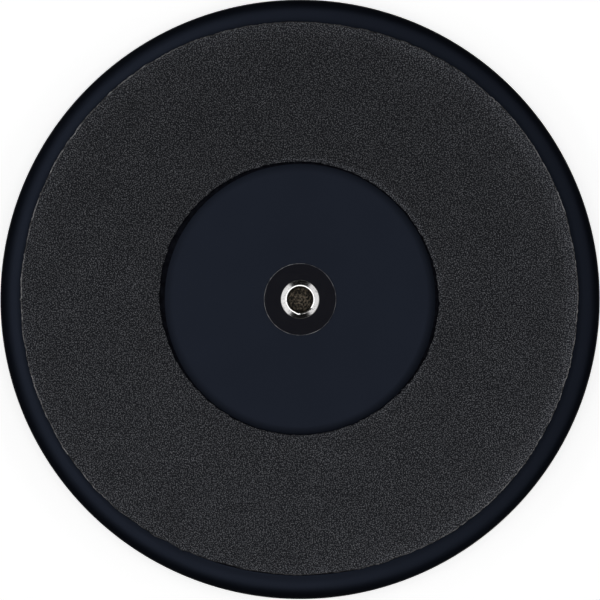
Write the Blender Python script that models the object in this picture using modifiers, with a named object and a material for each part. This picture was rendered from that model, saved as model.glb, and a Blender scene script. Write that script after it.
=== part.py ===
"""Low banding wheel: a round head that spins on a ring of balls over a round base.

Both plates are ribbed mouldings that face each other. Each holds a pressed steel raceway, and a caged
ring of balls runs between the two. A hollow-ended rivet through the middle is the pivot and keeps the
head from lifting off, and a foam ring is glued to each plate's outer face.
Metres, +Z up, with the origin on the spin axis at the surface that the wheel stands on.
"""

import math

import bmesh
import bpy
from mathutils import Matrix

# Driving dimensions
HEAD_RADIUS = 0.150
BASE_RADIUS = 0.142
PLATE_SPAN = 0.0209  # the base's underside to the head's top face
SKIN = 0.0030
PAD_THICKNESS = 0.0030
PAD_RECESS = 0.0007
PAD_INNER = 0.0690
PAD_TO_RIM = 0.0108
RACE_RADIUS = 0.0950
BALL_RADIUS = 0.003175
BALL_COUNT = 24
SHANK_RADIUS = 0.0076

# Gaps between pieces that touch, and between pieces that slide
GLUE_LINE = 0.0003
CONTACT = 0.0001
RUNNING = 0.00008

# Facets round the plates and pads, round the bearing's rings and round the centre pieces. Each count is
# a multiple of 12, so that the facets line up again at every 30 degrees.
PLATE_STEPS = 72
RING_STEPS = 48
HUB_STEPS = 36

# Heights that follow. The plates mirror each other about the middle plane.
BASE_FACE_Z = PAD_THICKNESS + GLUE_LINE - PAD_RECESS
HEAD_FACE_Z = BASE_FACE_Z + PLATE_SPAN
MIDDLE_Z = (BASE_FACE_Z + HEAD_FACE_Z) / 2
FACE = PLATE_SPAN / 2  # this and the depths below are measured outwards from the middle plane
PAD_SEAT = FACE - PAD_RECESS
INSIDE = FACE - SKIN
BOSS_END = 0.00055

# Plate walls
HEAD_FILLET = 0.0070
BASE_FILLET = 0.0040
RIM_WALL = 0.0028
RIM_EDGE = 0.0006
HEAD_RIM_END = -0.00055  # the head's skirt reaches past the middle plane, and the base's stops short
BASE_RIM_END = 0.00150
BOSS_RADIUS = 0.0200
RIB_COUNT = 12
RIB_THICKNESS = 0.0018
RIB_HEIGHT = 0.0035

# Centre stack
WASHER_RADIUS = 0.0180
TOP_WASHER_THICKNESS = 0.0008
BASE_WASHER_THICKNESS = 0.0012
WASHER_CHAMFER = 0.00025
SUNK_RADIUS = WASHER_RADIUS + 0.0003
SUNK_DEPTH = 0.0019
BUSH_WALL = 0.0015
BUSH_FLANGE_RADIUS = 0.0120
BUSH_FLANGE_THICKNESS = 0.0012
BUSH_PROUD = 0.0001
RIVET_BORE = 0.0064
RIVET_NECK = 0.0070
RIVET_BORE_DEPTH = 0.0115
RIVET_CREST_RADIUS = 0.0072
RIVET_ROLL_RADIUS = 0.0097
RIVET_ROLL_HEIGHT = 0.0011
RIVET_FOOT_RADIUS = 0.0115
RIVET_FOOT_THICKNESS = 0.0013

# Bearing
GROOVE_RADIUS = BALL_RADIUS + 0.0003
RACE_SHEET = 0.0012
RACE_LIP = 0.0019  # from the balls' centres to the face of a race's flange
RACE_HALF_WIDTH = 0.0070
SEAT_NEAR = 0.0038  # a seat wall's two faces, from the balls' circle
SEAT_FAR = 0.0064
CAGE_HALF_WIDTH = 0.0060
CAGE_THICKNESS = 0.0022
CAGE_CHAMFER = 0.0004
POCKET_RADIUS = BALL_RADIUS + 0.0003

COLOURS = {  # name: (base colour, roughness, metallic)
    "moulded_plastic": ((0.012, 0.015, 0.024), 0.55, 0.0),
    "pad_foam": ((0.024, 0.025, 0.028), 0.95, 0.0),
    "black_steel": ((0.008, 0.008, 0.010), 0.45, 0.0),
    "plated_steel": ((0.75, 0.75, 0.77), 0.15, 1.0),
    "race_steel": ((0.45, 0.45, 0.46), 0.30, 1.0),
    "ball_steel": ((0.72, 0.72, 0.74), 0.08, 1.0),
    "natural_acetal": ((0.80, 0.78, 0.72), 0.50, 0.0),
    "cage_nylon": ((0.62, 0.60, 0.53), 0.60, 0.0),
}


def clear_scene():
    for obj in list(bpy.data.objects):
        bpy.data.objects.remove(obj)


def new_collection(name):
    collection = bpy.data.collections.new(name)
    bpy.context.scene.collection.children.link(collection)
    return collection


def material(name):
    found = bpy.data.materials.get(name)
    if found:
        return found
    colour, roughness, metallic = COLOURS[name]
    made = bpy.data.materials.new(name)
    made.use_nodes = True
    shader = made.node_tree.nodes["Principled BSDF"]
    shader.inputs["Base Color"].default_value = (*colour, 1.0)
    shader.inputs["Roughness"].default_value = roughness
    shader.inputs["Metallic"].default_value = metallic
    return made


def arc(centre, radius, start, end, steps):
    """Points from one angle to another, in degrees, in the (radius, height) half-plane."""
    angles = (math.radians(start + (end - start) * i / steps) for i in range(steps + 1))
    return [(centre[0] + radius * math.cos(a), centre[1] + radius * math.sin(a)) for a in angles]


def add_mesh(name, mesh, collection, finish=None, parent=None):
    obj = bpy.data.objects.new(name, mesh)
    collection.objects.link(obj)
    if finish:
        mesh.materials.append(material(finish))
    if parent:
        obj.parent = parent
        obj.matrix_parent_inverse = parent.matrix_world.inverted()
    return obj


def settle(obj):
    """Applies an object's modifiers, and shades it smooth up to its sharp edges."""
    bpy.context.view_layer.update()
    graph = bpy.context.evaluated_depsgraph_get()
    mesh = bpy.data.meshes.new_from_object(obj.evaluated_get(graph))
    obj.modifiers.clear()
    obj.data = mesh
    mesh.shade_smooth()
    mesh.set_sharp_from_angle(angle=math.radians(32))
    return obj


def turned(name, profile, steps, closed, collection, finish, parent=None):
    """A profile in the (radius, height) half-plane, turned about Z. It runs down its outer side."""
    mesh = bpy.data.meshes.new(name)
    edges = [(i, i + 1) for i in range(len(profile) - 1)]
    if closed:
        edges.append((len(profile) - 1, 0))
    mesh.from_pydata([(radius, 0, height) for radius, height in profile], edges, [])
    obj = add_mesh(name, mesh, collection, finish, parent)
    screw = obj.modifiers.new("Turn", "SCREW")
    screw.steps = screw.render_steps = steps
    screw.use_merge_vertices = True
    screw.merge_threshold = 0.00001
    return settle(obj)


def combine(obj, other, operation):
    boolean = obj.modifiers.new("Combine", "BOOLEAN")
    boolean.operation = operation
    boolean.object = other
    return settle(obj)


def helper(name, shapes, collection):
    """One hidden mesh of several boxes or cylinders, for a Boolean to join or cut."""
    mesh = bpy.data.meshes.new(name)
    shapes.to_mesh(mesh)
    shapes.free()
    obj = add_mesh(name, mesh, collection)
    obj.hide_render = True
    obj.display_type = "WIRE"
    return obj


def rectangle(inner, outer, low, high, chamfer=0.0):
    """A ring's section, with its two upper corners cut off where a chamfer is given."""
    if not chamfer:
        return [(inner, high), (outer, high), (outer, low), (inner, low)]
    return [
        (inner + chamfer, high),
        (outer - chamfer, high),
        (outer, high - chamfer),
        (outer, low),
        (inner, low),
        (inner, high - chamfer),
    ]


def mirrored(profile):
    """The head's side of the middle plane turned into the base's side. The order keeps faces outwards."""
    return [(radius, -height) for radius, height in reversed(profile)]


def lifted(profile, by):
    return [(radius, height + by) for radius, height in profile]


def plate_profile(radius, fillet, rim_end, hub_face, bore):
    """A plate's section, its heights outwards from the middle plane, starting at the hub's outer face."""
    pad_outer = radius - PAD_TO_RIM
    race_seat = RACE_LIP + RACE_SHEET + CONTACT
    rim_inside = radius - RIM_WALL
    walls = []
    for near, far in ((SEAT_FAR, SEAT_NEAR), (-SEAT_NEAR, -SEAT_FAR)):
        near += RACE_RADIUS
        far += RACE_RADIUS
        walls += [(near, INSIDE), (near, race_seat), (far, race_seat), (far, INSIDE)]
    return [
        *hub_face,
        (PAD_INNER - 2 * PAD_RECESS, FACE),
        (PAD_INNER - 2 * PAD_RECESS, PAD_SEAT),
        (pad_outer + PAD_RECESS, PAD_SEAT),
        (pad_outer + PAD_RECESS, FACE),
        *arc((radius - fillet, FACE - fillet), fillet, 90, 0, 4),
        (radius, rim_end + RIM_EDGE),
        (radius - RIM_EDGE, rim_end),
        (rim_inside, rim_end),
        (rim_inside, FACE - fillet),
        (radius - max(fillet, 2 * RIM_WALL), INSIDE),
        *walls,
        (BOSS_RADIUS, INSIDE),
        (BOSS_RADIUS, BOSS_END),
        (bore, BOSS_END),
    ]


def rib_boxes(outer_end, side):
    """Radial ribs inside a plate, from its boss to the inner seat wall and from the outer one to the rim."""
    ribs = bmesh.new()
    sink = 0.0003  # how far each rib runs into the wall that it joins
    spans = (
        (BOSS_RADIUS - sink, RACE_RADIUS - SEAT_FAR + sink),
        (RACE_RADIUS + SEAT_FAR - sink, outer_end + sink),
    )
    centre_height = MIDDLE_Z + side * (INSIDE + (sink - RIB_HEIGHT) / 2)
    for index in range(RIB_COUNT):
        turn = Matrix.Rotation(2 * math.pi * (index + 0.5) / RIB_COUNT, 4, "Z")
        for start, end in spans:
            place = Matrix.Translation(((start + end) / 2, 0, centre_height))
            size = Matrix.Diagonal((end - start, RIB_THICKNESS, RIB_HEIGHT + sink, 1))
            bmesh.ops.create_cube(ribs, size=1, matrix=turn @ place @ size)
    return ribs


def make_plate(name, profile, radius, side, parts, helpers, parent=None):
    plate = turned(name, lifted(profile, MIDDLE_Z), PLATE_STEPS, True, parts, "moulded_plastic", parent)
    ribs = helper(name + "_ribs", rib_boxes(radius - RIM_WALL, side), helpers)
    combine(plate, ribs, "UNION")
    outward = MIDDLE_Z + side * (PAD_SEAT + GLUE_LINE)
    heights = sorted((outward, outward + side * PAD_THICKNESS))
    section = rectangle(PAD_INNER, radius - PAD_TO_RIM, *heights)
    turned(name + "_pad", section, PLATE_STEPS, True, parts, "pad_foam", parent)


def make_plates(parts, helpers, head_pivot):
    bush_hole = SHANK_RADIUS + RUNNING + BUSH_WALL + CONTACT
    flange_hole = BUSH_FLANGE_RADIUS + CONTACT
    flange_seat = FACE + BUSH_PROUD - BUSH_FLANGE_THICKNESS - CONTACT
    hub_face = [(bush_hole, flange_seat), (flange_hole, flange_seat), (flange_hole, FACE)]
    profile = plate_profile(HEAD_RADIUS, HEAD_FILLET, HEAD_RIM_END, hub_face, bush_hole)
    make_plate("head", profile, HEAD_RADIUS, 1, parts, helpers, head_pivot)

    shank_hole = SHANK_RADIUS + CONTACT
    sunk = FACE - SUNK_DEPTH
    hub_face = [(shank_hole, sunk), (SUNK_RADIUS, sunk), (SUNK_RADIUS, FACE)]
    profile = plate_profile(BASE_RADIUS, BASE_FILLET, BASE_RIM_END, hub_face, shank_hole)
    make_plate("base", mirrored(profile), BASE_RADIUS, -1, parts, helpers)


def race_profile():
    """A pressed ring's section: two flat flanges with a groove between them for the balls."""
    far = RACE_LIP + RACE_SHEET
    back = GROOVE_RADIUS + RACE_SHEET
    groove_turn = math.degrees(math.acos(RACE_LIP / GROOVE_RADIUS))
    back_turn = math.degrees(math.acos(far / back))
    return [
        *arc((RACE_RADIUS, 0), back, 90 + back_turn, 90 - back_turn, 3),
        (RACE_RADIUS + RACE_HALF_WIDTH, far),
        (RACE_RADIUS + RACE_HALF_WIDTH, RACE_LIP),
        *arc((RACE_RADIUS, 0), GROOVE_RADIUS, 90 - groove_turn, 90 + groove_turn, 4),
        (RACE_RADIUS - RACE_HALF_WIDTH, RACE_LIP),
        (RACE_RADIUS - RACE_HALF_WIDTH, far),
    ]


def make_races(parts, head_pivot):
    upper = lifted(race_profile(), MIDDLE_Z)
    turned("upper_race", upper, RING_STEPS, True, parts, "race_steel", head_pivot)
    lower = lifted(mirrored(race_profile()), MIDDLE_Z)
    turned("lower_race", lower, RING_STEPS, True, parts, "race_steel")


def make_cage(places, parts, helpers, cage_pivot):
    inner = RACE_RADIUS - CAGE_HALF_WIDTH
    outer = RACE_RADIUS + CAGE_HALF_WIDTH
    half = CAGE_THICKNESS / 2
    section = rectangle(inner, outer, MIDDLE_Z - half, MIDDLE_Z + half, CAGE_CHAMFER)
    cage = turned("ball_cage", section, RING_STEPS, True, parts, "cage_nylon", cage_pivot)
    pockets = bmesh.new()
    for place in places:
        bmesh.ops.create_cone(
            pockets,
            cap_ends=True,
            segments=12,
            radius1=POCKET_RADIUS,
            radius2=POCKET_RADIUS,
            depth=2 * CAGE_THICKNESS,
            matrix=place,
        )
    combine(cage, helper("cage_pockets", pockets, helpers), "DIFFERENCE")


def make_balls(places, parts, cage_pivot):
    """Each ball's X axis points out from the spin axis, and is the one it rolls about."""
    sphere = bmesh.new()
    bmesh.ops.create_uvsphere(sphere, u_segments=10, v_segments=6, radius=BALL_RADIUS)
    mesh = bpy.data.meshes.new("ball")
    sphere.to_mesh(mesh)
    sphere.free()
    mesh.materials.append(material("ball_steel"))
    mesh.shade_smooth()
    for index, place in enumerate(places):
        ball = add_mesh(f"ball_{index + 1:02d}", mesh, parts, parent=cage_pivot)
        ball.matrix_world = place


def make_bearing(parts, helpers, head_pivot, cage_pivot):
    place = Matrix.Translation((RACE_RADIUS, 0, MIDDLE_Z))
    places = [Matrix.Rotation(2 * math.pi * i / BALL_COUNT, 4, "Z") @ place for i in range(BALL_COUNT)]
    make_races(parts, head_pivot)
    make_cage(places, parts, helpers, cage_pivot)
    make_balls(places, parts, cage_pivot)


def make_top_stack(parts, head_pivot):
    """The flanged bush pressed into the head, and the washer over it. Gives the washer's two heights."""
    flange_high = HEAD_FACE_Z + BUSH_PROUD
    flange_low = flange_high - BUSH_FLANGE_THICKNESS
    bush_end = MIDDLE_Z + BOSS_END + CONTACT
    inner = SHANK_RADIUS + RUNNING
    bush = [
        (inner, flange_high),
        (BUSH_FLANGE_RADIUS, flange_high),
        (BUSH_FLANGE_RADIUS, flange_low),
        (inner + BUSH_WALL, flange_low),
        (inner + BUSH_WALL, bush_end),
        (inner, bush_end),
    ]
    turned("hub_bush", bush, HUB_STEPS, True, parts, "natural_acetal", head_pivot)
    low = flange_high + CONTACT
    high = low + TOP_WASHER_THICKNESS
    section = rectangle(RIVET_NECK + CONTACT, WASHER_RADIUS, low, high, WASHER_CHAMFER)
    turned("top_washer", section, HUB_STEPS, True, parts, "black_steel")
    return low, high


def rolled_edge(low):
    """The rivet's rolled end in section: steeply up from the bore to its crest, then gently down outside."""
    points = []
    for across, up in arc((0, 0), 1, 180, 0, 6):
        reach = RIVET_CREST_RADIUS - RIVET_BORE if across < 0 else RIVET_ROLL_RADIUS - RIVET_CREST_RADIUS
        points.append((RIVET_CREST_RADIUS + reach * across, low + RIVET_ROLL_HEIGHT * up))
    return points


def make_pivot(parts, head_pivot):
    """The rivet's hollow end is rolled over the top washer, and its foot sits under the base washer."""
    washer_low, washer_high = make_top_stack(parts, head_pivot)
    base_washer_high = BASE_FACE_Z + SUNK_DEPTH - CONTACT
    base_washer_low = base_washer_high - BASE_WASHER_THICKNESS
    section = rectangle(SHANK_RADIUS + CONTACT, WASHER_RADIUS, base_washer_low, base_washer_high)
    turned("base_washer", section, HUB_STEPS, True, parts, "black_steel")

    roll_low = washer_high + CONTACT
    bore_end = roll_low - RIVET_BORE_DEPTH
    shoulder = washer_low - CONTACT
    foot_high = base_washer_low - CONTACT
    foot_low = foot_high - RIVET_FOOT_THICKNESS
    foot_edge = RIVET_FOOT_THICKNESS / 2
    rivet = [
        (0, bore_end),
        (RIVET_BORE, bore_end),
        *rolled_edge(roll_low),
        (RIVET_NECK, roll_low),
        (RIVET_NECK, shoulder),
        (SHANK_RADIUS, shoulder),
        (SHANK_RADIUS, foot_high),
        (RIVET_FOOT_RADIUS, foot_high),
        (RIVET_FOOT_RADIUS, foot_low + foot_edge),
        (RIVET_FOOT_RADIUS - foot_edge, foot_low),
        (0, foot_low),
    ]
    turned("pivot_rivet", rivet, HUB_STEPS, False, parts, "plated_steel")


def add_pivot(name, collection):
    """An empty on the spin axis, which carries the pieces that turn together."""
    pivot = bpy.data.objects.new(name, None)
    collection.objects.link(pivot)
    return pivot


def main():
    clear_scene()
    parts = new_collection("Banding wheel")
    helpers = new_collection("Helpers")
    head_pivot = add_pivot("head_pivot", parts)
    cage_pivot = add_pivot("cage_pivot", parts)
    make_plates(parts, helpers, head_pivot)
    make_bearing(parts, helpers, head_pivot, cage_pivot)
    make_pivot(parts, head_pivot)


main()
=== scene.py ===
"""Looks for the low banding wheel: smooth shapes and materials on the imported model, its light and camera."""

import math
import random

import bmesh
import bpy
from mathutils import Matrix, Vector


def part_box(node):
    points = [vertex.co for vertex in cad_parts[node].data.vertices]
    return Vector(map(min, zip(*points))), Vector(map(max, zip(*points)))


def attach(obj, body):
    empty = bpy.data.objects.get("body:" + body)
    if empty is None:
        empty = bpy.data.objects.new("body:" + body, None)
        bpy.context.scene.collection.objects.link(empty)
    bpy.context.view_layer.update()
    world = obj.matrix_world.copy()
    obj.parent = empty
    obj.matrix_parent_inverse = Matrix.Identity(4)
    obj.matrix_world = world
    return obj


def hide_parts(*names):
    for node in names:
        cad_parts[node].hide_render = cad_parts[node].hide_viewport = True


MM = 0.001
SAME_PLACE = 1e-4 * MM

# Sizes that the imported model's boxes don't give, as the part has them
CONTACT = 0.1 * MM
SKIN = 3.0 * MM
RIM_WALL = 2.8 * MM
RIM_ENDS = {"head": -0.55 * MM, "base": 1.50 * MM}  # heights outwards from the middle plane
HEAD_FILLET = 7.0 * MM
BASE_FILLET = 4.0 * MM
BOSS_RADIUS = 20.0 * MM
BOSS_END = 0.55 * MM
RIB_COUNT = 12
RIB_THICKNESS = 1.8 * MM
RIB_HEIGHT = 3.5 * MM
PAD_TO_RIM = 10.8 * MM
PAD_INNER = 69.0 * MM
PAD_RECESS = 0.7 * MM
SEAT_NEAR = 3.8 * MM
SEAT_FAR = 6.4 * MM
RACE_SHEET = 1.2 * MM
RACE_LIP = 1.9 * MM
GROOVE_CLEARANCE = 0.3 * MM
BALL_COUNT = 24
BUSH_WALL = 1.5 * MM
BUSH_RUNNING = 0.08 * MM
BUSH_FLANGE = 1.2 * MM
SHANK_RADIUS = 7.6 * MM
SUNK_DEPTH = 1.9 * MM  # of the base's middle, for the rivet's foot and its washer
RIVET_NECK = 7.0 * MM
RIVET_BORE = 6.4 * MM
RIVET_BORE_DEPTH = 11.5 * MM
RIVET_CREST = 7.2 * MM
RIVET_ROLL_RADIUS = 9.7 * MM
RIVET_ROLL_HEIGHT = 1.1 * MM
RIVET_FOOT_THICKNESS = 1.3 * MM

# The plates' smooth shapes
SHOULDER = 4.1 * MM  # how far inside the recess the plate starts to dip
SHOULDER_DROP = 0.65 * MM
RAMP_IN = 1.5 * MM  # the recess's outer side, as a ramp across the pad's edge
RAMP_OUT = 1.4 * MM
RIB_SINK = 0.3 * MM  # how far a rib runs into what it meets
RIB_EDGE = 0.25 * MM
SUNK_GAP = 0.3 * MM  # round the base's washer

# The foam rings' hand-cut edges
PAD_HOLE = 68.8 * MM
PAD_SPREAD = -0.30 * MM
HEAD_PAD_SEEDS = (9112, 15865)  # for the outer edge's waviness and the inner one's
BASE_PAD_SEEDS = (29, 31)
CUT_WIDTH = 0.5 * MM
CUT_DEPTH = 0.35 * MM
EDGE_BAND = 4.0 * MM
OUTER_WAVE = 0.72 * MM
INNER_WAVE = 0.82 * MM
MOST_WAVE = 1.3 * MM
WAVE_REACH = 5.0 * MM  # how far into the foam the waviness dies away
COARSE_NICKS = 0.16 * MM
OUTER_FINE_NICKS = 0.11 * MM
INNER_FINE_NICKS = 0.12 * MM
NICK_SPACING = 4  # steps between two coarse nicks
WAVE_TERMS = 4
WAVE_FALL = 0.6  # how fast the shorter waves shrink
SLANTED = 0.93  # the steepest height of a unit normal on a slanted cut
UPRIGHT = 0.3  # and on an upright one

# The rivet's rolled end. Angles are in degrees, anticlockwise from +X.
RIVET_LIP = 6.8 * MM  # where the bore's rounded mouth meets the crest
RIVET_LIP_DROP = 0.02 * MM
RIVET_CREST_END = 7.3 * MM  # where the crest's curve ends and the long slope starts
RIVET_CREST_DROP = 0.04 * MM
RIVET_SLOPE_END = 9.5 * MM
RIVET_SLOPE = math.tan(math.radians(22))
RIVET_OUTER_DROP = 0.15 * MM
SPLIT_ANGLE = 296.0
SPLIT_WIDTH = 25.0  # to each side
SPLIT_DEPTH = 0.45 * MM
PETAL_ANGLE = 263.0  # where the lip beside the split is bent outwards
PETAL_WIDTH = 16.0
PETAL_BEND = 0.45 * MM
CLEAN_MOUTH = 0.3 * MM  # how far down the bore the plating is still clean
FACE_SLACK = 0.05 * MM  # allowed when a face is told by where its middle is
WASHER_CHAMFER = 0.22 * MM

# How finely round shapes are drawn
PLATE_STEPS = 288
PAD_STEPS = 900
RING_STEPS = 192
HUB_STEPS = 128
CORNER_STEPS = 3
MOST_OF_SIDE = 0.45  # how much of a side one rounded corner may take
FILLET_STEPS = 20
GROOVE_STEPS = 12
SHOULDER_STEPS = 8
MOUTH_STEPS = 8
POCKET_SIDES = 32
POCKET_CUT = 6.0 * MM  # the height of the shape that cuts a pocket, taller than the cage
BALL_SEGMENTS = 32
BALL_RINGS = 20

# Where the looks change, as distances in from the head's edge
RIM_FLAT = 8.7 * MM  # the middle of the bare ring outside the pad
POLISHED = (6.5 * MM, 2.5 * MM)
SCUFFED = (6.0 * MM, 3.5 * MM)
OUTER_PALING = (19.0 * MM, 12.0 * MM)
WIDE_PALING = (42.0 * MM, 17.0 * MM)

# Grain of the looks. Each is about the size of one feature.
PLASTIC_CLOUDS = 18 * MM
PLASTIC_GRAIN = 0.45 * MM
SHADE_FILM_BLOTS = 2.0 * MM
FOAM_CELL = 0.36 * MM
FOAM_GRAIN = 0.38 * MM
SKIN_DOME = 0.76 * MM
SKIN_PATCHES = 22 * MM
CUT_PATCHES = 3.5 * MM
PAINT_RINGS = 0.5 * MM
PAINT_SPECKS = 0.8 * MM
BARE_PATCHES = 3.2 * MM
METAL_LINES = 0.22 * MM
METAL_SCUFFS = 1.1 * MM
OIL_BLOTS = 0.85 * MM
OIL_GRAIN = 0.35 * MM
HANDLING_DIRT = 6 * MM
POLYMER_GRAIN = 0.4 * MM
STREAK_SPREAD = 1.1 * MM  # how far noise moves in a radian round the axis, so that it runs in streaks
USUAL_NOISE = (0.3, 0.7)  # what nearly all of a noise lies between

# The camera looks straight down.
CAMERA_HEIGHT = 3.0
CAMERA_SHIFT = (-0.03 * MM, -0.31 * MM)
OUTLINE_SHARE = 0.9992  # of half the frame's width that the head's radius fills
SENSOR_WIDTH = 36.0  # in Blender's millimetres
NEAREST_SEEN = 0.05

# The light, as the sky's brightness. Angles are from straight overhead, in degrees.
WHITE = (1.0, 1.0, 1.0, 1.0)
SEEN_SKY = 1.05
OVERHEAD = 1.5
OVERHEAD_REACH = 22.0
LEFT_PANEL = 0.93
RIGHT_PANEL = 0.86
PANEL_NEAR = 37.0
PANEL_FAR = 52.0
PANEL_TURN = 55.0  # how far each panel reaches round from the left or the right
PANEL_SEAM = 0.05
SOFT_EDGE = 2.5
GROUND_GLOW = 0.03  # what the ground would throw back up onto the sides
GROUND_NEAR = 100.0
BELOW = 1.2  # light from straight below, which shows the underside
BELOW_NEAR = 150.0
BELOW_FAR = 200.0  # past 180, so that the light has no hole in its middle

# The ground
FLOOR_SIZE = 6.0
FLOOR_GAP = 0.2 * MM
FLOOR_GLOW = 0.73
FLOOR_GREY = (0.8, 0.8, 0.8, 1.0)


# Objects and meshes


def add_object(name, data):
    obj = bpy.data.objects.new(name, data)
    bpy.context.scene.collection.objects.link(obj)
    return obj


def mesh_from(name, bm):
    """A mesh of the bmesh, which is freed."""
    mesh = bpy.data.meshes.new(name)
    bm.to_mesh(mesh)
    bm.free()
    return mesh


def add_piece(name, bm, materials, body, part_node, sharp=38):
    """Makes the bmesh a piece that rides on a body and stands for one CAD node."""
    mesh = mesh_from(name, bm)
    mesh.set_sharp_from_angle(angle=math.radians(sharp))
    for material in materials:
        mesh.materials.append(material)
    obj = add_object(name, mesh)
    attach(obj, body)
    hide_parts(part_node)
    return obj


def heights(part_node):
    low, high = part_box(part_node)
    return low[2], high[2]


def outer_radius(part_node):
    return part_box(part_node)[1][0]


def rounded_corner(before, corner, after, rounding):
    """Points on a curve that cuts a section's corner, starting and ending that far from it."""
    ends = []
    for other in (before, after):
        dx = other[0] - corner[0]
        dy = other[1] - corner[1]
        length = math.hypot(dx, dy)
        reach = min(rounding, MOST_OF_SIDE * length)
        ends.append((corner[0] + dx / length * reach, corner[1] + dy / length * reach))
    controls = (ends[0], corner, ends[1])
    points = []
    for step in range(CORNER_STEPS + 1):
        t = step / CORNER_STEPS
        weights = ((1 - t) ** 2, 2 * t * (1 - t), t**2)
        points.append(tuple(sum(w * p[axis] for w, p in zip(weights, controls)) for axis in (0, 1)))
    return points


def softened(section):
    """A closed section with its corners rounded. Each of its points is (radius, height, rounding)."""
    points = []
    for index, (x, y, rounding) in enumerate(section):
        before = section[index - 1]
        after = section[(index + 1) % len(section)]
        points += rounded_corner(before, (x, y), after, rounding) if rounding else [(x, y)]
    return points


def arc(centre, radius, start, end, steps):
    """Unrounded points of a section from one angle to another, in degrees."""
    angles = [math.radians(start + (end - start) * i / steps) for i in range(steps + 1)]
    return [(centre[0] + radius * math.cos(a), centre[1] + radius * math.sin(a), 0) for a in angles]


def turned(points, steps, shift=None):
    """A bmesh of a closed outline turned about Z, running down its outer side. The shift moves points."""
    bm = bmesh.new()
    rings = []
    for step in range(steps):
        angle = 2 * math.pi * step / steps
        ring = []
        for radius, height in points:
            if shift:
                radius, height = shift(step, radius, height)
            ring.append(bm.verts.new((radius * math.cos(angle), radius * math.sin(angle), height)))
        rings.append(ring)
    for step, ring in enumerate(rings):
        after = rings[(step + 1) % steps]
        for j, corner in enumerate(ring):
            k = (j + 1) % len(ring)
            face = bm.faces.new((corner, ring[k], after[k], after[j]))
            face.smooth = True
    bmesh.ops.remove_doubles(bm, verts=bm.verts, dist=SAME_PLACE)
    return bm


def across_and_up(face):
    """(distance from the axis, height) of a face's middle."""
    centre = face.calc_center_median()
    return math.hypot(centre.x, centre.y), centre.z


# Node graphs


def new_material(name):
    """(material, its node tree, its shader, the place in the object's own coordinates)."""
    material = bpy.data.materials.new(name)
    material.use_nodes = True
    tree = material.node_tree
    place = tree.nodes.new("ShaderNodeTexCoord").outputs["Object"]
    return material, tree, tree.nodes["Principled BSDF"], place


def set_or_link(tree, socket, value):
    if isinstance(value, bpy.types.NodeSocket):
        tree.links.new(value, socket)
    else:
        socket.default_value = value


def node(tree, kind, inputs, output=0, **settings):
    """Adds a node, sets or links its inputs, and gives one of its outputs."""
    made = tree.nodes.new("ShaderNode" + kind)
    for key, value in settings.items():
        setattr(made, key, value)
    for key, value in inputs.items():
        set_or_link(tree, made.inputs[key], value)
    return made.outputs[output]


def plug(tree, shader, **sockets):
    """Sets or links the shader's sockets, whose names are written with _ for a space."""
    for name, value in sockets.items():
        set_or_link(tree, shader.inputs[name.replace("_", " ")], value)


def noise(tree, place, size, detail=2.0, roughness=0.5):
    """Smooth noise from 0 to 1 whose features are about one size across."""
    inputs = {"Vector": place, "Scale": 1 / size, "Detail": detail, "Roughness": roughness}
    return node(tree, "TexNoise", inputs)


def math_node(tree, operation, a, b=0.0, clamp=False):
    return node(tree, "Math", {0: a, 1: b}, operation=operation, use_clamp=clamp)


def times(tree, a, b):
    return math_node(tree, "MULTIPLY", a, b)


def plus(tree, a, b, clamp=False):
    return math_node(tree, "ADD", a, b, clamp)


def remap(tree, value, low, high, to_low, to_high):
    """The value moved from one range to another, and held inside it."""
    inputs = {"Value": value, "From Min": low, "From Max": high, "To Min": to_low, "To Max": to_high}
    return node(tree, "MapRange", inputs)


def vary(tree, value, low, high):
    """Between the two numbers, as a noise goes over its usual range."""
    return remap(tree, value, *USUAL_NOISE, low, high)


def ramp(tree, value, stops):
    """Colours along a value. Each stop is (position, (red, green, blue))."""
    made = tree.nodes.new("ShaderNodeValToRGB")
    tree.links.new(value, made.inputs["Fac"])
    elements = made.color_ramp.elements
    while len(elements) < len(stops):
        elements.new(0.5)
    for element, (position, colour) in zip(elements, stops):
        element.position = position
        element.color = (*colour, 1.0)
    return made.outputs["Color"]


def scaled(tree, colour, factor):
    return node(tree, "VectorMath", {0: colour, "Scale": factor}, operation="SCALE")


def blended(tree, factor, first, second):
    """From the first colour to the second. The node has its factor at input 0 and its colours at 6 and 7."""
    inputs = {0: factor, 6: (*first, 1.0), 7: (*second, 1.0)}
    return node(tree, "Mix", inputs, output=2, data_type="RGBA")


def bump(tree, shader, height, distance, strength):
    normal = node(tree, "Bump", {"Height": height, "Distance": distance, "Strength": strength})
    tree.links.new(normal, shader.inputs["Normal"])


def flattened(tree, place):
    """The place without its height."""
    return node(tree, "VectorMath", {0: place, 1: (1.0, 1.0, 0.0)}, operation="MULTIPLY")


def from_axis(tree, place):
    return node(tree, "VectorMath", {0: flattened(tree, place)}, output="Value", operation="LENGTH")


def round_axis(tree, place):
    """A place whose noise runs in streaks round the axis."""
    around = node(tree, "VectorMath", {0: flattened(tree, place)}, operation="NORMALIZE")
    slow = scaled(tree, around, STREAK_SPREAD)
    slow_x = node(tree, "SeparateXYZ", {0: slow})
    slow_y = node(tree, "SeparateXYZ", {0: slow}, output=1)
    height = node(tree, "SeparateXYZ", {0: place}, output=2)
    radial = plus(tree, from_axis(tree, place), height)
    return node(tree, "CombineXYZ", {0: radial, 1: slow_x, 2: slow_y})


def towards(tree, place, degrees):
    """1 on that side of the axis, -1 on the far side, and between them a cosine. 0 degrees is +X."""
    turn = math.radians(degrees)
    around = node(tree, "VectorMath", {0: flattened(tree, place)}, operation="NORMALIZE")
    side = (math.cos(turn), math.sin(turn), 0.0)
    return node(tree, "VectorMath", {0: around, 1: side}, output="Value", operation="DOT_PRODUCT")


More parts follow.
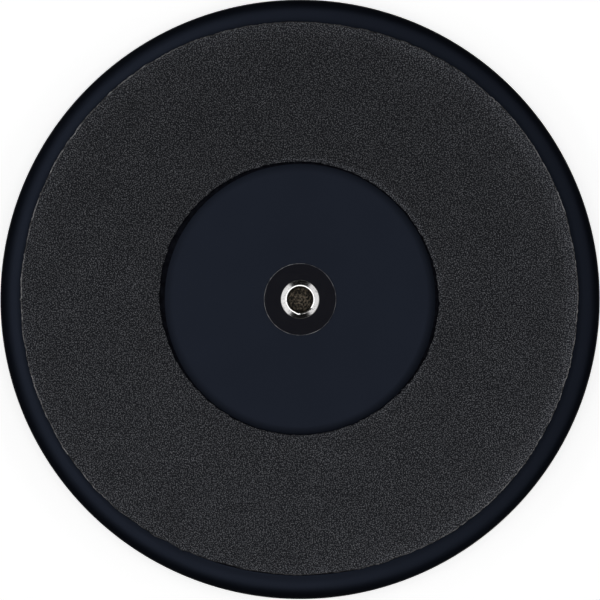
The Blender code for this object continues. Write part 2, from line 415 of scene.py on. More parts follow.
def ring_mask(tree, distance, radius, full, reach):
    """1 within the first width of that distance from the axis, falling to 0 by the second."""
    away = math_node(tree, "ABSOLUTE", math_node(tree, "SUBTRACT", distance, radius))
    return remap(tree, away, full, reach, 1.0, 0.0)


# Materials


def plastic_roughness(tree, place, clouds):
    """Even, but for a duller patch outside the pad, one inside it, and the polished rim."""
    distance = from_axis(tree, place)
    rim = outer_radius("head")
    on_flat = ring_mask(tree, distance, rim - RIM_FLAT, 3 * MM, 5 * MM)
    on_dip = ring_mask(tree, distance, PAD_INNER - 1.5 * MM, 0.0, 4 * MM)
    changes = (
        (on_flat, remap(tree, towards(tree, place, 15), -0.2, 0.8, 0.0, 0.14)),
        (on_dip, remap(tree, towards(tree, place, -50), -1.0, 1.0, 0.05, 0.30)),
        (remap(tree, distance, rim - POLISHED[0], rim - POLISHED[1], 0.0, 1.0), -0.09),
    )
    roughness = vary(tree, clouds, 0.58, 0.61)
    for mask, change in changes:
        roughness = plus(tree, roughness, times(tree, mask, change))
    return roughness


def plastic_shine(tree, place):
    """Even, but weaker on the two sides of the rim that handling has scuffed."""
    rim = outer_radius("head")
    rounding = remap(tree, from_axis(tree, place), rim - SCUFFED[0], rim - SCUFFED[1], 0.0, 1.0)
    sides = math_node(tree, "ABSOLUTE", towards(tree, place, 20))
    return plus(tree, 0.52, times(tree, rounding, remap(tree, sides, 0.0, 1.0, 0.0, -0.22)))


def moulded_plastic():
    """Blue-black plastic with a fine spark-eroded texture, painted a little lighter at the left, where the
    light is stronger.
    """
    material, tree, shader, place = new_material("moulded_plastic")
    clouds = noise(tree, place, PLASTIC_CLOUDS, detail=3.0)
    grain = noise(tree, place, PLASTIC_GRAIN, roughness=0.6)
    deep = (0.0042, 0.0051, 0.0080)
    pale = (0.0051, 0.0062, 0.0096)
    colour = ramp(tree, clouds, [(0.30, deep), (0.70, pale)])
    speck = vary(tree, grain, 0.90, 1.10)
    # Painted light: lighter towards the left, where the light falls more strongly.
    one_side_lighter = remap(tree, towards(tree, place, 180), 0.2, 1.0, 0.98, 1.25)
    plug(tree, shader, Base_Color=scaled(tree, colour, times(tree, speck, one_side_lighter)))
    plug(tree, shader, Roughness=plastic_roughness(tree, place, clouds))
    plug(tree, shader, Specular_IOR_Level=plastic_shine(tree, place), Specular_Tint=(0.52, 0.65, 1.0, 1.0))
    bump(tree, shader, grain, distance=0.03 * MM, strength=0.5)
    return material


def recess_shade_film():
    """A dark film painted as shade in the gap inside a pad's hole, where the pad's wall shades the plate."""
    material, tree, shader, place = new_material("recess_shade_film")
    blots = noise(tree, place, SHADE_FILM_BLOTS, detail=3.0, roughness=0.6)
    deep = (0.0030, 0.0034, 0.0066)
    pale = (0.0098, 0.0110, 0.0168)
    colour = ramp(tree, blots, [(0.35, deep), (0.65, pale)])
    plug(tree, shader, Base_Color=colour, Roughness=0.8, Specular_IOR_Level=0.05)
    bump(tree, shader, blots, distance=0.1 * MM, strength=0.5)
    return material


def foam_grain(tree, place):
    """Random tones from 0 to 1 in cells under half a millimetre across, as in cut foam."""
    tilted = node(tree, "VectorRotate", {"Vector": place, "Axis": (0.4, 0.3, 1.0), "Angle": 0.6})
    cells = node(tree, "TexVoronoi", {"Vector": tilted, "Scale": 1 / FOAM_CELL}, output="Color")
    tone = node(tree, "SeparateXYZ", {0: cells})
    soft = remap(tree, noise(tree, place, FOAM_GRAIN, roughness=0.6), 0.33, 0.67, 0.0, 1.0)
    return plus(tree, times(tree, soft, 0.5), times(tree, tone, 0.5), clamp=True)


def pebbled_skin(tree, place):
    """The height of the foam's skin from 0 to 1: a small dome in each cell, with random unevenness."""
    inputs = {"Vector": place, "Scale": 1 / SKIN_DOME, "Randomness": 1.0}
    from_middle = node(tree, "TexVoronoi", inputs, output="Distance", voronoi_dimensions="2D")
    dome = remap(tree, from_middle, 0.08, 0.62, 0.83, 0.17)
    uneven = remap(tree, foam_grain(tree, place), 0.0, 1.0, -0.33, 0.33)
    return plus(tree, dome, uneven, clamp=True)


def pad_edge_tone_and_highlight(tree, place):
    """How much paler the foam's skin is towards its edges: paler towards the outer edge, most to the right,
    and with a painted highlight along the inner edge, strongest towards the upper right. 1 is not at all.
    """
    distance = from_axis(tree, place)
    rim = outer_radius("head")
    at_outer = remap(tree, distance, rim - OUTER_PALING[0], rim - OUTER_PALING[1], 0.0, 0.50)
    # A painted highlight along the pad's inner cut edge.
    at_inner = ring_mask(tree, distance, PAD_INNER + 0.3 * MM, 0.8 * MM, 2.2 * MM)
    spread_out = remap(tree, distance, rim - WIDE_PALING[0], rim - WIDE_PALING[1], 0.0, 0.11)
    parts = (
        (at_outer, remap(tree, towards(tree, place, 15), -1.0, 1.0, 0.25, 1.3)),
        (at_inner, remap(tree, towards(tree, place, 60), -1.0, 1.0, 0.05, 0.50)),
        (spread_out, remap(tree, towards(tree, place, 25), -0.7, 1.0, 0.1, 1.3)),
    )
    edge_tone = 1.0
    for mask, strength in parts:
        edge_tone = plus(tree, edge_tone, times(tree, mask, strength))
    return edge_tone


def pad_foam():
    """Dark foam with a pebbled grain, lighter towards one side and paler by its edges, with a painted
    highlight along the inner one.
    """
    material, tree, shader, place = new_material("pad_foam")
    grain = pebbled_skin(tree, place)
    dark = (0.0195, 0.0208, 0.0254)
    middle = (0.0400, 0.0420, 0.0492)
    light = (0.274, 0.281, 0.303)
    colour = ramp(tree, grain, [(0.24, dark), (0.55, middle), (0.92, light)])
    patches = vary(tree, noise(tree, place, SKIN_PATCHES, detail=3.0), 0.93, 1.07)
    one_side_lighter = remap(tree, towards(tree, place, -100), -1.0, 1.0, 0.89, 1.14)
    tone = times(tree, times(tree, patches, one_side_lighter), pad_edge_tone_and_highlight(tree, place))
    plug(tree, shader, Base_Color=scaled(tree, colour, tone), Roughness=0.92, Specular_IOR_Level=0.2)
    bump(tree, shader, grain, distance=0.10 * MM, strength=0.6)
    return material


def foam_wall():
    """The upright edge round the pad's hole, cut straight through, painted darker than the skin as the shade
    inside the hole.
    """
    material, tree, shader, place = new_material("foam_wall")
    grain = foam_grain(tree, place)
    dark = (0.0120, 0.0124, 0.0145)
    middle = (0.0290, 0.0300, 0.0345)
    light = (0.120, 0.122, 0.131)
    colour = ramp(tree, grain, [(0.20, dark), (0.50, middle), (0.84, light)])
    plug(tree, shader, Base_Color=colour, Roughness=0.92, Specular_IOR_Level=0.2)
    bump(tree, shader, grain, distance=0.05 * MM, strength=0.5)
    return material


def cut_foam():
    """The cut edge of the foam, paler than its skin, partly as a painted highlight where it catches the light;
    painted lighter still towards the left and right, where the side light falls, and darker in patches where
    it has been rubbed.
    """
    material, tree, shader, place = new_material("cut_foam")
    grain = foam_grain(tree, place)
    dark = (0.09, 0.09, 0.092)
    middle = (0.25, 0.25, 0.26)
    light = (0.50, 0.50, 0.51)
    colour = ramp(tree, grain, [(0.1, dark), (0.5, middle), (0.9, light)])
    patches = remap(tree, noise(tree, place, CUT_PATCHES, roughness=0.6), 0.38, 0.60, 0.25, 1.2)
    # Painted light: lighter towards the left and right, where the side light falls on the cut, and darker at
    # the top and bottom.
    towards_lit_sides = math_node(tree, "ABSOLUTE", towards(tree, place, -10))
    tone = times(tree, patches, remap(tree, towards_lit_sides, 0.35, 0.85, 0.38, 1.4))
    plug(tree, shader, Base_Color=scaled(tree, colour, tone), Roughness=0.9, Specular_IOR_Level=0.2)
    bump(tree, shader, grain, distance=0.10 * MM, strength=0.6)
    return material


def black_paint():
    """Black paint over steel, with faint rings from the lathe under it."""
    material, tree, shader, place = new_material("black_paint")
    rings = noise(tree, round_axis(tree, place), PAINT_RINGS)
    specks = noise(tree, place, PAINT_SPECKS, detail=3.0, roughness=0.6)
    black = (0.0030, 0.0034, 0.0105)
    tone = vary(tree, specks, 0.85, 1.15)
    roughness = vary(tree, rings, 0.62, 0.71)
    plug(tree, shader, Base_Color=scaled(tree, black, tone), Roughness=roughness, Specular_IOR_Level=0.24)
    bump(tree, shader, rings, distance=0.01 * MM, strength=0.5)
    return material


def worn_and_highlit_edge():
    """The washer's edge, painted pale as a highlight along its chamfer, and rubbed through to steel in places.
    """
    material, tree, shader, place = new_material("worn_and_highlit_edge")
    patches = noise(tree, place, BARE_PATCHES, detail=3.0, roughness=0.6)
    bare = remap(tree, patches, 0.42, 0.64, 0.10, 1.0)
    # Painted highlight: even where the paint is left, the edge is far paler than the black face.
    paint = (0.10, 0.10, 0.12)
    steel = (0.90, 0.90, 0.92)
    plug(tree, shader, Base_Color=blended(tree, bare, paint, steel), Metallic=0.3, Roughness=0.6)
    return material


def bright_metal(name, colour, roughness, scuffs):
    """Bare or plated steel with fine marks round the axis and a few scuffs."""
    material, tree, shader, place = new_material(name)
    lines = noise(tree, round_axis(tree, place), METAL_LINES, detail=3.0, roughness=0.6)
    marks = noise(tree, place, METAL_SCUFFS, detail=4.0, roughness=0.7)
    dull = remap(tree, marks, 0.56, 0.72, 0.0, scuffs)
    darker = tuple(channel * 0.45 for channel in colour)
    polish = vary(tree, lines, roughness * 0.8, roughness * 1.25)
    plug(tree, shader, Base_Color=blended(tree, dull, colour, darker), Metallic=1.0)
    plug(tree, shader, Roughness=plus(tree, polish, times(tree, dull, 0.2)))
    bump(tree, shader, plus(tree, times(tree, marks, 0.6), lines), distance=0.02 * MM, strength=0.4)
    return material


def oily_bore():
    """The inside of the rivet, brown with old oil and dust, with painted shade darkening it towards the bore's
    wall.
    """
    material, tree, shader, place = new_material("oily_bore")
    blots = noise(tree, place, OIL_BLOTS, detail=3.0, roughness=0.65)
    fine = noise(tree, place, OIL_GRAIN)
    black = (0.0010, 0.0008, 0.0005)
    brown = (0.044, 0.0350, 0.0235)
    dusty = (0.36, 0.29, 0.205)
    colour = ramp(tree, blots, [(0.40, black), (0.50, brown), (0.60, dusty)])
    # Painted shade: darker towards the bore's wall, where the deep hole gets little light.
    corner_shade = remap(tree, from_axis(tree, place), RIVET_BORE - 1.4 * MM, RIVET_BORE - 0.2 * MM, 1.08, 0.40)
    plug(tree, shader, Base_Color=scaled(tree, colour, corner_shade), Specular_IOR_Level=0.25)
    plug(tree, shader, Roughness=vary(tree, fine, 0.45, 0.7))
    bump(tree, shader, blots, distance=0.12 * MM, strength=0.7)
    return material


def plain_polymer(name, colour, roughness):
    """Unpigmented plastic with a faint moulding grain and a little handling dirt."""
    material, tree, shader, place = new_material(name)
    dirt = noise(tree, place, HANDLING_DIRT, detail=4.0, roughness=0.6)
    grain = noise(tree, place, POLYMER_GRAIN)
    dirty = tuple(channel * factor for channel, factor in zip(colour, (0.78, 0.74, 0.66)))
    plug(tree, shader, Base_Color=blended(tree, remap(tree, dirt, 0.4, 0.75, 0.0, 0.6), colour, dirty))
    plug(tree, shader, Roughness=vary(tree, grain, roughness - 0.05, roughness + 0.05))
    bump(tree, shader, grain, distance=0.02 * MM, strength=0.4)
    return material


# The two plates


def dip(edge, face):
    """The plate's face as it dips gently towards the recess for a pad."""
    shares = [step / SHOULDER_STEPS for step in range(SHOULDER_STEPS + 1)]
    return [(edge - SHOULDER * (1 - share), face - SHOULDER_DROP * share**2, 0) for share in shares]


def race_seats(race_radius, inside):
    """The two ribs inside a plate that hold its race, with the race's seat between them."""
    seat = RACE_LIP + RACE_SHEET + CONTACT
    points = []
    for far, near in ((SEAT_FAR, SEAT_NEAR), (-SEAT_NEAR, -SEAT_FAR)):
        points += [(race_radius + far, inside, 0.8 * MM), (race_radius + far, seat, 0.3 * MM)]
        points += [(race_radius + near, seat, 0.3 * MM), (race_radius + near, inside, 0.8 * MM)]
    return points


def plate_section(name, radius, fillet, face, hub):
    """A plate's section, with heights outwards from the middle plane."""
    inside = face - SKIN
    pad_inner = PAD_INNER - 2 * PAD_RECESS
    pad_outer = radius - PAD_TO_RIM + PAD_RECESS
    return [
        *hub,
        *dip(pad_inner, face),
        (pad_inner, face - PAD_RECESS, 0.05 * MM),
        (pad_outer - RAMP_IN, face - PAD_RECESS, 0.5 * MM),
        (pad_outer + RAMP_OUT, face, 1.2 * MM),
        *arc((radius - fillet, face - fillet), fillet, 90, 0, FILLET_STEPS),
        (radius, RIM_ENDS[name], 0.6 * MM),
        (radius - RIM_WALL, RIM_ENDS[name], 0.4 * MM),
        (radius - RIM_WALL, face - fillet, 1.5 * MM),
        (radius - max(fillet, 2 * RIM_WALL), inside, 1.5 * MM),
        *race_seats(race_circle(), inside),
        (BOSS_RADIUS, inside, 1.0 * MM),
        (BOSS_RADIUS, BOSS_END, 0.4 * MM),
        (hub[0][0], BOSS_END, 0.2 * MM),
    ]


def head_hub(middle):
    """The head's section round the bush: its hole, and the seat for its flange."""
    hole = SHANK_RADIUS + BUSH_RUNNING + BUSH_WALL + CONTACT
    flange_hole = outer_radius("hub_bush") + CONTACT
    seat = heights("hub_bush")[1] - BUSH_FLANGE - CONTACT - middle
    face = heights("head")[1] - middle
    return [(hole, seat, 0.1 * MM), (flange_hole, seat, 0.1 * MM), (flange_hole, face, 0.2 * MM)]


def base_hub(middle):
    """The base's section round the rivet's foot: the shank's hole, and the hollow for the washer."""
    face = middle - heights("base")[0]
    sunk = face - SUNK_DEPTH
    edge = outer_radius("base_washer") + SUNK_GAP
    return [(SHANK_RADIUS + CONTACT, sunk, 0.1 * MM), (edge, sunk, 0.2 * MM), (edge, face, 0.3 * MM)]


def race_circle():
    """The radius of the circle that the balls' centres lie on."""
    low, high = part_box("ball_01")
    return (low[0] + high[0]) / 2


def add_ribs(bm, outer_end, middle, inside, side):
    """Radial ribs inside a plate, with their long edges softened."""
    race_radius = race_circle()
    spans = (
        (BOSS_RADIUS - RIB_SINK, race_radius - SEAT_FAR + RIB_SINK),
        (race_radius + SEAT_FAR - RIB_SINK, outer_end + RIB_SINK),
    )
    centre_height = middle + side * (inside + (RIB_SINK - RIB_HEIGHT) / 2)
    for index in range(RIB_COUNT):
        turn = Matrix.Rotation(2 * math.pi * (index + 0.5) / RIB_COUNT, 4, "Z")
        for start, end in spans:
            place = Matrix.Translation(((start + end) / 2, 0, centre_height))
            size = Matrix.Diagonal((end - start, RIB_THICKNESS, RIB_HEIGHT + RIB_SINK, 1))
            made = bmesh.ops.create_cube(bm, size=1, matrix=turn @ place @ size)
            edges = {edge for vert in made["verts"] for edge in vert.link_edges}
            bmesh.ops.bevel(bm, geom=list(edges), offset=RIB_EDGE, segments=2, affect="EDGES")


def shade_recess_faces(bm, side, middle, face_height, radius):
    """Gives the recess's floor, from the pad's inner edge out to its middle, its second material: a dark film
    painted as shade.
    """
    for face in bm.faces:
        reach, height = across_and_up(face)
        outwards = side * (height - middle)
        in_recess = face_height - SKIN / 2 < outwards < face_height - PAD_RECESS / 2
        if in_recess and PAD_INNER - 2.2 * PAD_RECESS < reach < (PAD_INNER + radius) / 2:
            face.material_index = 1


def add_plate(name, side, fillet, hub, middle, materials):
    """A plate facing up or down, by its side: 1 or -1. Its body has the same name."""
    low, high = heights(name)
    radius = outer_radius(name)
    face = (high - middle) if side > 0 else (middle - low)
    points = softened(plate_section(name, radius, fillet, face, hub))
    if side < 0:
        points = [(r, -h) for r, h in reversed(points)]
    bm = turned([(r, h + middle) for r, h in points], PLATE_STEPS)
    shade_recess_faces(bm, side, middle, face, radius)
    add_ribs(bm, radius - RIM_WALL, middle, face - SKIN, side)
    add_piece(name + "_moulding", bm, materials, name, name)


# The two foam rings


def waver(seed, size):
    """A gentle random waviness round a circle, of about that size."""
    draw = random.Random(seed)
    orders = range(1, WAVE_TERMS + 1)
    terms = [(k, draw.gauss(0, 1) / k**WAVE_FALL, draw.uniform(0, 2 * math.pi)) for k in orders]
    spread = math.sqrt(sum(a * a for _, a, _ in terms) / 2)
    return lambda angle: size / spread * sum(a * math.sin(k * angle + p) for k, a, p in terms)


def raggedness(seed, coarse, fine):
    """One small random move for each step round an edge: coarse ones that last a few steps, and fine ones."""
    draw = random.Random(seed)
    knots = [draw.gauss(0, 1) for _ in range(PAD_STEPS // NICK_SPACING)]
    moves = []
    for index in range(PAD_STEPS):
        knot, part = divmod(index, NICK_SPACING)
        slow = knots[knot] + (knots[(knot + 1) % len(knots)] - knots[knot]) * part / NICK_SPACING
        moves.append(coarse * slow + fine * draw.gauss(0, 1))
    return moves


def pad_section(low, high, outer, outward):
    """A foam ring's section. Its outer edge is cut at a slant, so the cut, painted paler as a highlight, shows
    from above.
    """
    section = [
        (PAD_HOLE, low, 0.1 * MM),
        (PAD_HOLE, high, 0.3 * MM),
        (PAD_HOLE + EDGE_BAND, high, 0),
        (outer - CUT_WIDTH - EDGE_BAND, high, 0),
        (outer - CUT_WIDTH, high, 0.05 * MM),
        (outer, high - CUT_DEPTH, 0.05 * MM),
        (outer, low, 0.1 * MM),
    ]
    if outward < 0:
        section = [(r, low + high - h, rounding) for r, h, rounding in reversed(section)]
    return section


def hand_cut(outer, seeds):
    """A shift for turned that makes a foam ring's two edges wavy and ragged."""
    outer_wave = waver(seeds[0], OUTER_WAVE)
    inner_wave = waver(seeds[1], INNER_WAVE)
    outer_nicks = raggedness(seeds[0], COARSE_NICKS, OUTER_FINE_NICKS)
    inner_nicks = raggedness(seeds[1], COARSE_NICKS, INNER_FINE_NICKS)

    def shift(step, radius, height):
        angle = 2 * math.pi * step / PAD_STEPS
        if radius > (PAD_HOLE + outer) / 2:
            from_edge = outer - radius
            move = min(MOST_WAVE, outer_wave(angle) + outer_nicks[step])
        else:
            from_edge = radius - PAD_HOLE
            move = max(-MOST_WAVE, inner_wave(angle) + inner_nicks[step])
        return radius + max(0.0, 1 - from_edge / WAVE_REACH) * move, height

    return shift


def add_pad(name, body, outward, materials, seeds):
    """A foam ring. Its materials are the skin's, the slanted outer cut's and the hole's upright wall's."""
    low, high = heights(name)
    outer = outer_radius(name) + PAD_SPREAD
    section = pad_section(low, high, outer, outward)
    bm = turned(softened(section), PAD_STEPS, hand_cut(outer, seeds))
    bm.normal_update()
    for face in bm.faces:
        reach, _ = across_and_up(face)
        at_outer = reach > (PAD_HOLE + outer) / 2
        if at_outer and abs(face.normal.z) < SLANTED:
            face.material_index = 1
        elif not at_outer and abs(face.normal.z) < UPRIGHT:
            face.material_index = 2
    obj = add_piece(name + "_ring", bm, materials, body, name, sharp=50)


# The hub


def add_ring(name, part_node, body, material, section):
    add_piece(name, turned(softened(section), HUB_STEPS), [material], body, part_node)


def add_top_washer(black, edge):
    """The black washer, whose chamfer is rubbed bright and painted with a highlight."""
    low, high = heights("top_washer")
    radius = outer_radius("top_washer")
    section = [
        (RIVET_NECK + CONTACT, high, 0.1 * MM),
        (radius - WASHER_CHAMFER, high, 0.04 * MM),
        (radius, high - WASHER_CHAMFER, 0.04 * MM),
        (radius, low, 0.05 * MM),
        (RIVET_NECK + CONTACT, low, 0.1 * MM),
    ]
    bm = turned(softened(section), HUB_STEPS)
    for face in bm.faces:
        reach, _ = across_and_up(face)
        if reach > radius - WASHER_CHAMFER:
            face.material_index = 1
    add_piece("top_washer_disc", bm, [black, edge], "base", "top_washer", sharp=25)


def add_base_washer(black):
    low, high = heights("base_washer")
    radius = outer_radius("base_washer")
    section = [
        (SHANK_RADIUS + CONTACT, high, 0.1 * MM),
        (radius, high, 0.15 * MM),
        (radius, low, 0.25 * MM),
        (SHANK_RADIUS + CONTACT, low, 0.1 * MM),
    ]
    add_ring("base_washer_disc", "base_washer", "base", black, section)


def bore_mouth(roll_low):
    """The quarter of an ellipse by which the rivet's bore opens out to its lip."""
    turns = [math.pi / 2 * (1 - step / MOUTH_STEPS) for step in range(MOUTH_STEPS)]
    reach = RIVET_LIP - RIVET_BORE
    return [(RIVET_LIP - reach * math.sin(t), roll_low + RIVET_ROLL_HEIGHT * math.cos(t), 0) for t in turns]


def rivet_section(low, high, roll_low, bore_end):
    """The rivet's section, from the middle of the bore's floor over the rolled end to the foot."""
    slope_top = high - RIVET_CREST_DROP
    slope_low = slope_top - (RIVET_SLOPE_END - RIVET_CREST_END) * RIVET_SLOPE
    neck_low = heights("top_washer")[0] - CONTACT
    foot_high = low + RIVET_FOOT_THICKNESS
    foot_radius = outer_radius("pivot_rivet")
    return [
        (0, bore_end, 0),
        (RIVET_BORE, bore_end, 0.8 * MM),
        *bore_mouth(roll_low),
        (RIVET_LIP, high - RIVET_LIP_DROP, 0),
        (RIVET_CREST, high, 0.2 * MM),
        (RIVET_CREST_END, slope_top, 0.15 * MM),
        (RIVET_SLOPE_END, slope_low, 0.1 * MM),
        (RIVET_ROLL_RADIUS, slope_low - RIVET_OUTER_DROP, 0.1 * MM),
        (RIVET_ROLL_RADIUS, roll_low, 0.05 * MM),
        (RIVET_NECK, roll_low, 0),
        (RIVET_NECK, neck_low, 0.1 * MM),
        (SHANK_RADIUS, neck_low, 0.1 * MM),
        (SHANK_RADIUS, foot_high, 0.1 * MM),
        (foot_radius, foot_high, 0.1 * MM),
        (foot_radius, low, 0.8 * MM),
        (0, low, 0),
    ]


def split_lip(roll_low):
    """A shift for turned that lowers the lip where it split in rolling, and bends it out beside that."""

    def shift(step, radius, height):
        on_lip = roll_low < height and RIVET_BORE - CONTACT < radius < RIVET_CREST_END + CONTACT
        if not on_lip:
            return radius, height
        angle = 360 * step / HUB_STEPS
        split = max(0.0, 1 - abs(angle - SPLIT_ANGLE) / SPLIT_WIDTH)
        bent = max(0.0, 1 - abs(angle - PETAL_ANGLE) / PETAL_WIDTH)
        uneven = 0.75 + 0.25 * math.sin(step * 1.9)
        return radius + PETAL_BEND * bent, height - SPLIT_DEPTH * uneven * math.sqrt(split)

    return shift


def rivet_look(face, roll_low, bore_end):
    """Which of the rivet's materials a face takes: 0 plated, 1 oily, 2 scuffed or 3 torn."""
    reach, height = across_and_up(face)
    if reach < RIVET_BORE + FACE_SLACK and bore_end - FACE_SLACK < height < roll_low - CLEAN_MOUTH:
        return 1
    if height <= roll_low:
        return 0
    centre = face.calc_center_median()
    angle = math.degrees(math.atan2(centre.y, centre.x)) % 360
    if reach < RIVET_CREST_END and abs(angle - SPLIT_ANGLE) < SPLIT_WIDTH:
        return 3
    return 2 if reach > RIVET_SLOPE_END - FACE_SLACK else 0


def add_rivet(materials):
    low, high = heights("pivot_rivet")
    roll_low = high - RIVET_ROLL_HEIGHT
    bore_end = roll_low - RIVET_BORE_DEPTH
    section = rivet_section(low, high, roll_low, bore_end)
    bm = turned(softened(section), HUB_STEPS, split_lip(roll_low))
    for face in bm.faces:
        face.material_index = rivet_look(face, roll_low, bore_end)
    add_piece("rivet", bm, materials, "base", "pivot_rivet")


def add_bush(material):
    low, high = heights("hub_bush")
    flange = outer_radius("hub_bush")
    inner = SHANK_RADIUS + BUSH_RUNNING
    section = [
        (inner, high, 0.2 * MM),
        (flange, high, 0.2 * MM),
        (flange, high - BUSH_FLANGE, 0.2 * MM),
        (inner + BUSH_WALL, high - BUSH_FLANGE, 0.1 * MM),
        (inner + BUSH_WALL, low, 0.3 * MM),
        (inner, low, 0.2 * MM),
    ]
    add_ring("hub_bush_sleeve", "hub_bush", "head", material, section)


# The bearing


def race_section(race_radius, ball_radius):
    """A race's section, heights outwards from the middle plane. Its groove is pressed round the balls."""
    far = RACE_LIP + RACE_SHEET
    groove = ball_radius + GROOVE_CLEARANCE
    back = groove + RACE_SHEET
    half_width = outer_radius("upper_race") - race_radius
    groove_turn = math.degrees(math.acos(RACE_LIP / groove))
    back_turn = math.degrees(math.acos(far / back))
    return [
        *arc((race_radius, 0), back, 90 + back_turn, 90 - back_turn, GROOVE_STEPS),
        (race_radius + half_width, far, 0.4 * MM),
        (race_radius + half_width, RACE_LIP, 0.4 * MM),
        *arc((race_radius, 0), groove, 90 - groove_turn, 90 + groove_turn, GROOVE_STEPS),
        (race_radius - half_width, RACE_LIP, 0.4 * MM),
        (race_radius - half_width, far, 0.4 * MM),
    ]


def add_races(material, middle, ball_radius):
    points = softened(race_section(race_circle(), ball_radius))
    upper = [(r, middle + h) for r, h in points]
    lower = [(r, middle - h) for r, h in reversed(points)]
    for name, body, ring in (("upper_race", "head", upper), ("lower_race", "base", lower)):
        add_piece(name + "_ring", turned(ring, RING_STEPS), [material], body, name)


def pocket_cutter(middle, ball_radius):
    """One object with an upright cylinder for each of the cage's pockets."""
    bm = bmesh.new()
    pocket = ball_radius + GROOVE_CLEARANCE
    shape = {"segments": POCKET_SIDES, "radius1": pocket, "radius2": pocket, "depth": POCKET_CUT}
    place = Matrix.Translation((race_circle(), 0, middle))
    for index in range(BALL_COUNT):
        turn = Matrix.Rotation(2 * math.pi * index / BALL_COUNT, 4, "Z")
        bmesh.ops.create_cone(bm, cap_ends=True, matrix=turn @ place, **shape)
    return add_object("pockets", mesh_from("pockets", bm))


def cut_away(obj, cutter):
    """Cuts the cutter's shape from the object's mesh and removes the cutter."""
    cut = obj.modifiers.new("Pockets", "BOOLEAN")
    cut.operation = "DIFFERENCE"
    cut.object = cutter
    bpy.context.view_layer.update()
    graph = bpy.context.evaluated_depsgraph_get()
    finished = bpy.data.meshes.new_from_object(obj.evaluated_get(graph))
    obj.modifiers.clear()
    obj.data = finished
    bpy.data.objects.remove(cutter)


def add_cage(material, ball_radius):
    low, high = heights("ball_cage")
    outer = outer_radius("ball_cage")
    inner = 2 * race_circle() - outer
    corners = ((inner, high), (outer, high), (outer, low), (inner, low))
    section = [(radius, height, 0.4 * MM) for radius, height in corners]
    bm = turned(softened(section), RING_STEPS)
    cage = add_piece("cage_ring", bm, [material], "cage", "ball_cage")
    cut_away(cage, pocket_cutter((low + high) / 2, ball_radius))


def add_balls(material, ball_radius):
    """The balls, which share one mesh. Each rides on a body of its own name."""
    sphere = bmesh.new()
    bmesh.ops.create_uvsphere(sphere, u_segments=BALL_SEGMENTS, v_segments=BALL_RINGS, radius=ball_radius)
    for face in sphere.faces:
        face.smooth = True
    mesh = mesh_from("ball", sphere)
    mesh.materials.append(material)
    for index in range(BALL_COUNT):
        name = f"ball_{index + 1:02d}"
        low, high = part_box(name)
        ball = add_object(name + "_sphere", mesh)
        ball.location = [(a + b) / 2 for a, b in zip(low, high)]
        bpy.context.view_layer.update()
        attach(ball, name)
        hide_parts(name)


def build():
    low, high = heights("ball_01")
    middle = (low + high) / 2
    ball_radius = (high - low) / 2
    # The second plastic is a dark film painted as shade in the gap inside each pad's hole.
    plastics = [moulded_plastic(), recess_shade_film()]
    foams = [pad_foam(), cut_foam(), foam_wall()]
    black = black_paint()
    plated = bright_metal("nickel_plate", (0.91, 0.90, 0.90), roughness=0.18, scuffs=0.8)
    scuffed = bright_metal("scuffed_nickel", (0.50, 0.50, 0.48), roughness=0.5, scuffs=1.0)
    torn = bright_metal("torn_nickel", (0.10, 0.10, 0.09), roughness=0.6, scuffs=1.0)
    race_steel = bright_metal("race_steel", (0.52, 0.51, 0.50), roughness=0.28, scuffs=0.5)
    ball_steel = bright_metal("ball_steel", (0.74, 0.74, 0.74), roughness=0.07, scuffs=0.2)
    nylon = plain_polymer("cage_nylon", (0.60, 0.57, 0.49), roughness=0.5)
    acetal = plain_polymer("natural_acetal", (0.72, 0.70, 0.63), roughness=0.45)

    add_plate("head", 1, HEAD_FILLET, head_hub(middle), middle, plastics)
    add_plate("base", -1, BASE_FILLET, base_hub(middle), middle, plastics)
    add_pad("head_pad", "head", 1, foams, HEAD_PAD_SEEDS)
    add_pad("base_pad", "base", -1, foams, BASE_PAD_SEEDS)
    add_top_washer(black, worn_and_highlit_edge())
    add_base_washer(black)
    add_rivet([plated, oily_bore(), scuffed, torn])
    add_races(race_steel, middle, ball_radius)
    add_cage(nylon, ball_radius)
    add_balls(ball_steel, ball_radius)
    add_bush(acetal)


# Light, ground and camera


def within(tree, angle, limit):
    """1 where the angle is under the limit, which is in degrees, and 0 beyond it, with a soft edge."""
    inputs = {
        "Value": angle,
        "From Min": math.radians(limit - SOFT_EDGE),
        "From Max": math.radians(limit + SOFT_EDGE),
        "To Min": 1.0,
        "To Max": 0.0,
    }
    return node(tree, "MapRange", inputs, interpolation_type="SMOOTHSTEP")


def between(tree, angle, near, far):
    beyond = math_node(tree, "SUBTRACT", 1.0, within(tree, angle, near))
    return times(tree, beyond, within(tree, angle, far))


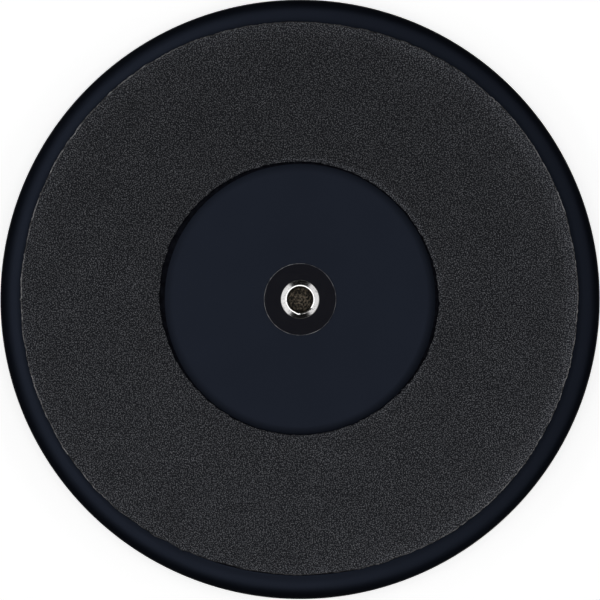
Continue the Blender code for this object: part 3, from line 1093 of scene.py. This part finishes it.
def add_world():
    """White to the camera. To the wheel, a dim sky with a lamp overhead and a soft panel left and right."""
    world = bpy.data.worlds.new("studio")
    bpy.context.scene.world = world
    world.use_nodes = True
    tree = world.node_tree
    tree.nodes.clear()
    split = tree.nodes.new("ShaderNodeSeparateXYZ")
    tree.links.new(tree.nodes.new("ShaderNodeTexCoord").outputs["Generated"], split.inputs[0])
    x, y, z = split.outputs
    from_top = math_node(tree, "ARCCOSINE", z)
    from_side = math_node(tree, "ARCTAN2", math_node(tree, "ABSOLUTE", y), math_node(tree, "ABSOLUTE", x))
    panels = times(tree, between(tree, from_top, PANEL_NEAR, PANEL_FAR), within(tree, from_side, PANEL_TURN))
    glow = times(tree, panels, remap(tree, x, -PANEL_SEAM, PANEL_SEAM, LEFT_PANEL, RIGHT_PANEL))
    others = (
        (within(tree, from_top, OVERHEAD_REACH), OVERHEAD),
        (between(tree, from_top, GROUND_NEAR, BELOW_NEAR), GROUND_GLOW),
        (between(tree, from_top, BELOW_NEAR, BELOW_FAR), BELOW),
    )
    for mask, strength in others:
        glow = plus(tree, glow, times(tree, mask, strength))
    sky = node(tree, "Background", {"Color": WHITE, "Strength": glow})
    white = node(tree, "Background", {"Color": WHITE, "Strength": SEEN_SKY})
    seen = node(tree, "LightPath", {}, output="Is Camera Ray")
    shown = node(tree, "MixShader", {0: seen, 1: sky, 2: white})
    out = tree.nodes.new("ShaderNodeOutputWorld")
    tree.links.new(shown, out.inputs["Surface"])


def floor_white():
    """A pale ground with a glow of its own, clear from below."""
    material = bpy.data.materials.new("floor_white")
    material.use_nodes = True
    tree = material.node_tree
    tree.nodes.clear()
    glow = node(tree, "Emission", {"Color": WHITE, "Strength": FLOOR_GLOW})
    matt = node(tree, "BsdfDiffuse", {"Color": FLOOR_GREY})
    both = node(tree, "AddShader", {0: glow, 1: matt})
    clear = node(tree, "BsdfTransparent", {})
    from_below = node(tree, "NewGeometry", {}, output="Backfacing")
    shown = node(tree, "MixShader", {0: from_below, 1: both, 2: clear})
    out = tree.nodes.new("ShaderNodeOutputMaterial")
    tree.links.new(shown, out.inputs["Surface"])
    return material


def add_floor():
    """A white ground that only the camera sees, and only from above. It throws no light onto the dark rim."""
    bm = bmesh.new()
    bmesh.ops.create_grid(bm, x_segments=1, y_segments=1, size=FLOOR_SIZE)
    floor = add_object("floor", mesh_from("floor", bm))
    floor.location.z = -FLOOR_GAP
    floor.data.materials.append(floor_white())
    floor.visible_diffuse = False
    floor.visible_glossy = False
    floor.visible_transmission = False
    floor.visible_shadow = False


def add_camera():
    """Straight above, with the head's outline filling the frame."""
    data = bpy.data.cameras.new("camera")
    camera = add_object("camera", data)
    widest = heights("head")[1] - HEAD_FILLET
    distance = CAMERA_HEIGHT - widest
    data.sensor_width = SENSOR_WIDTH
    data.lens = SENSOR_WIDTH / 2 * distance / (outer_radius("head") / OUTLINE_SHARE)
    data.clip_start = NEAREST_SEEN
    camera.location = (*CAMERA_SHIFT, CAMERA_HEIGHT)
    bpy.context.scene.camera = camera


def light_and_view():
    bpy.context.scene.view_settings.view_transform = "Standard"
    add_world()
    add_floor()
    add_camera()


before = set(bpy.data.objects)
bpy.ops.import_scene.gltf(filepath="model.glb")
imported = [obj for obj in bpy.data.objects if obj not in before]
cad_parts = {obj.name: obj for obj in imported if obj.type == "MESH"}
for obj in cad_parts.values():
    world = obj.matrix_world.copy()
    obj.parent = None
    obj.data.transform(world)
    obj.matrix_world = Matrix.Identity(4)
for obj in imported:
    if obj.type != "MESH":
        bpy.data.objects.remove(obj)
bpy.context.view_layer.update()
build()
light_and_view()
